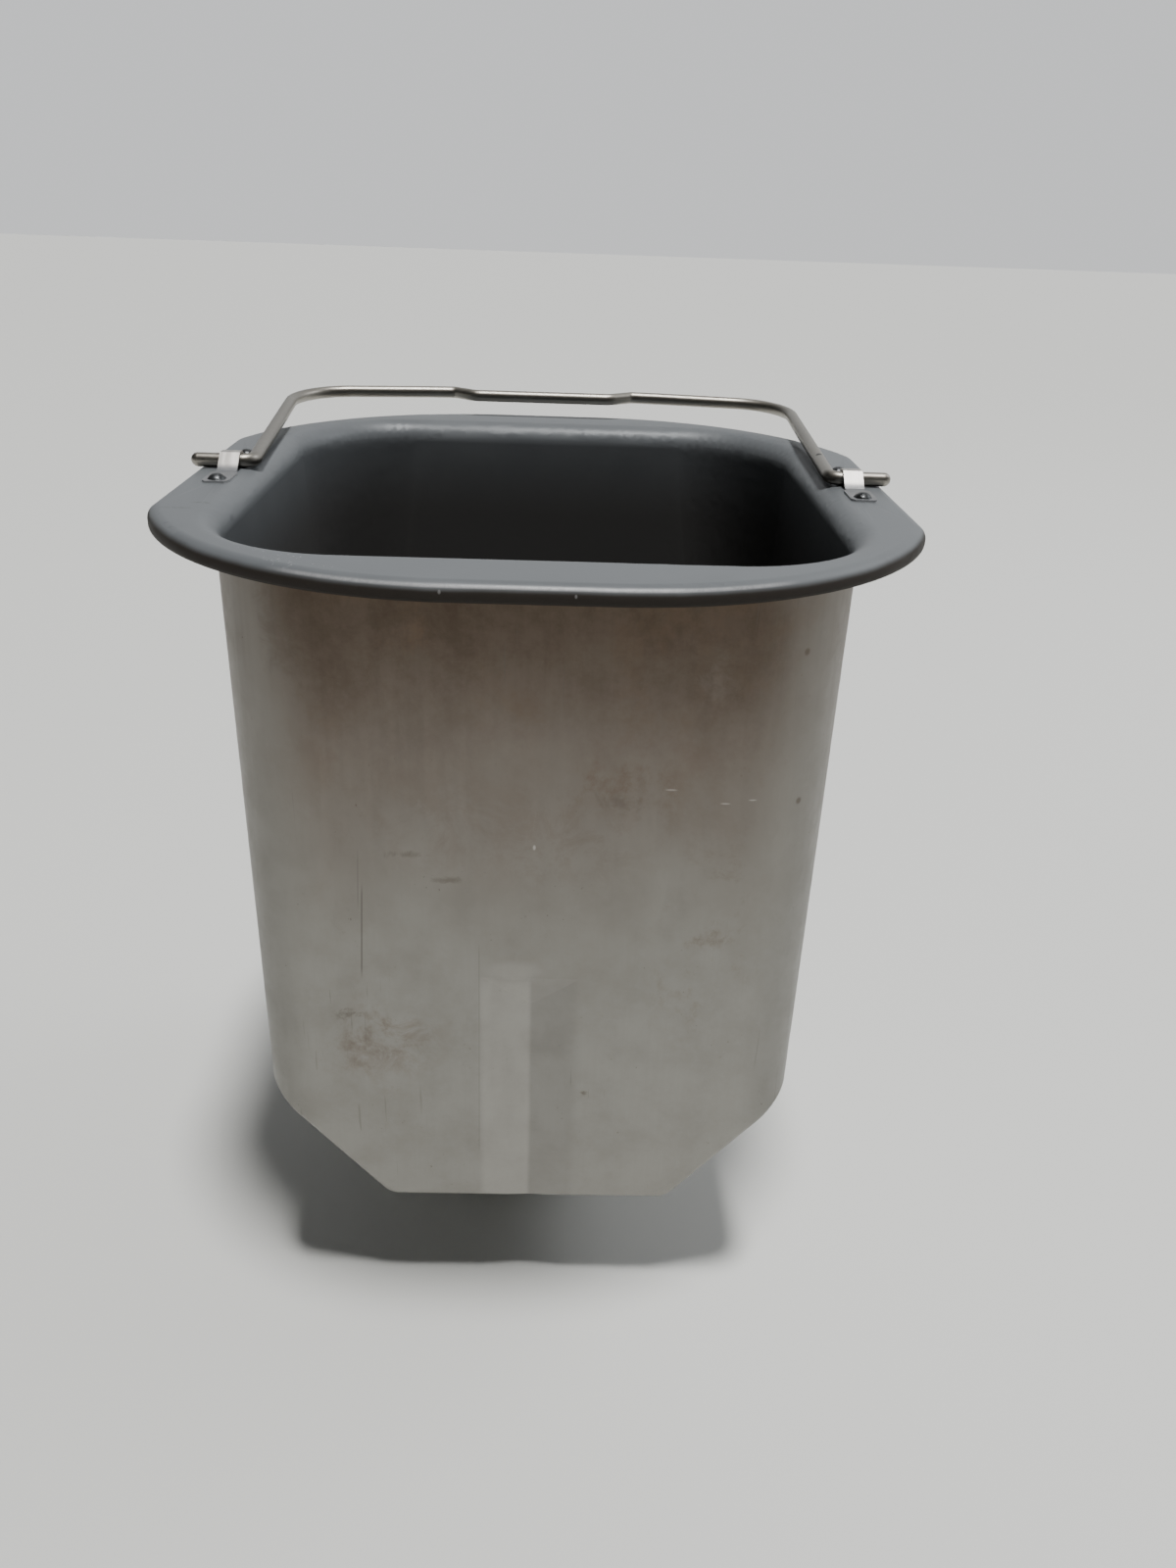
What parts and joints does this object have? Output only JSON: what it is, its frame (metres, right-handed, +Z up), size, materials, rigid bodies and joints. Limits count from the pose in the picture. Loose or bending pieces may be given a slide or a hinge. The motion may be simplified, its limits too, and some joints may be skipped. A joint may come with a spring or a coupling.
{
  "type": "bread machine pan",
  "caption": "Deep rectangular bread pan with a rolled flange, a swinging wire bail, a foot ring and a sealed drive shaft with a lift-off kneading paddle.",
  "frame": {"origin": "centre of the foot ring's lower face, on the drive shaft's axis", "axes": "+Z up along the drive shaft, -Y the pan's front, +X to the right seen from the front"},
  "size_m": [0.1794, 0.1908, 0.22],
  "materials": {
    "pan_sheet": "matte, stained by baking, with a grey non-stick coat on the flange and inside",
    "wire": "worn nickel plate",
    "clip_metal": "satin",
    "dark_rivet": "tarnished",
    "rivet_metal": "satin",
    "cast_ring": "cast, matte",
    "silicone": "matte",
    "dark_coat": "non-stick coat, semi-gloss",
    "bronze": "sintered, oily",
    "bright_steel": "machined",
    "coupling_metal": "cast, matte"
  },
  "bodies": {
    "pan": {"pan_body": "pan_sheet", "left_handle_clip": "clip_metal", "right_handle_clip": "clip_metal", "left_front_clip_rivet": "dark_rivet", "left_rear_clip_rivet": "dark_rivet", "right_front_clip_rivet": "dark_rivet", "right_rear_clip_rivet": "dark_rivet", "base_ring": "cast_ring", "base_rivet_1": "rivet_metal", "base_rivet_2": "rivet_metal", "base_rivet_3": "rivet_metal", "base_rivet_4": "rivet_metal", "housing_gasket": "silicone", "bearing_housing": "cast_ring", "hub_nut": "dark_coat", "lower_bush": "bronze", "upper_bush": "bronze", "shaft_seal": "silicone", "seal_cap": "bright_steel"},
    "bail": {"handle_bail": "wire"},
    "drive": {"drive_shaft": "bright_steel", "upper_thrust_washer": "bright_steel", "retaining_clip": "bright_steel", "lower_thrust_washer": "bright_steel", "drive_coupling": "coupling_metal", "coupling_pin": "bright_steel"},
    "paddle": {"kneading_paddle": "dark_coat"}
  },
  "joints": [
    {"name": "bail_hinge", "type": "hinge", "parent": "pan", "child": "bail", "pos_m": [0, 0, 0.2138], "axis": [1, 0, 0], "range_deg": [0, 170]},
    {"name": "drive_spin", "type": "hinge", "parent": "pan", "child": "drive", "pos_m": [0, 0, 0.02], "axis": [0, 0, 1], "continuous": true},
    {"name": "paddle_lift", "type": "slide", "parent": "drive", "child": "paddle", "axis": [0, 0, 1], "range_m": [0, 0.185]}
  ]
}
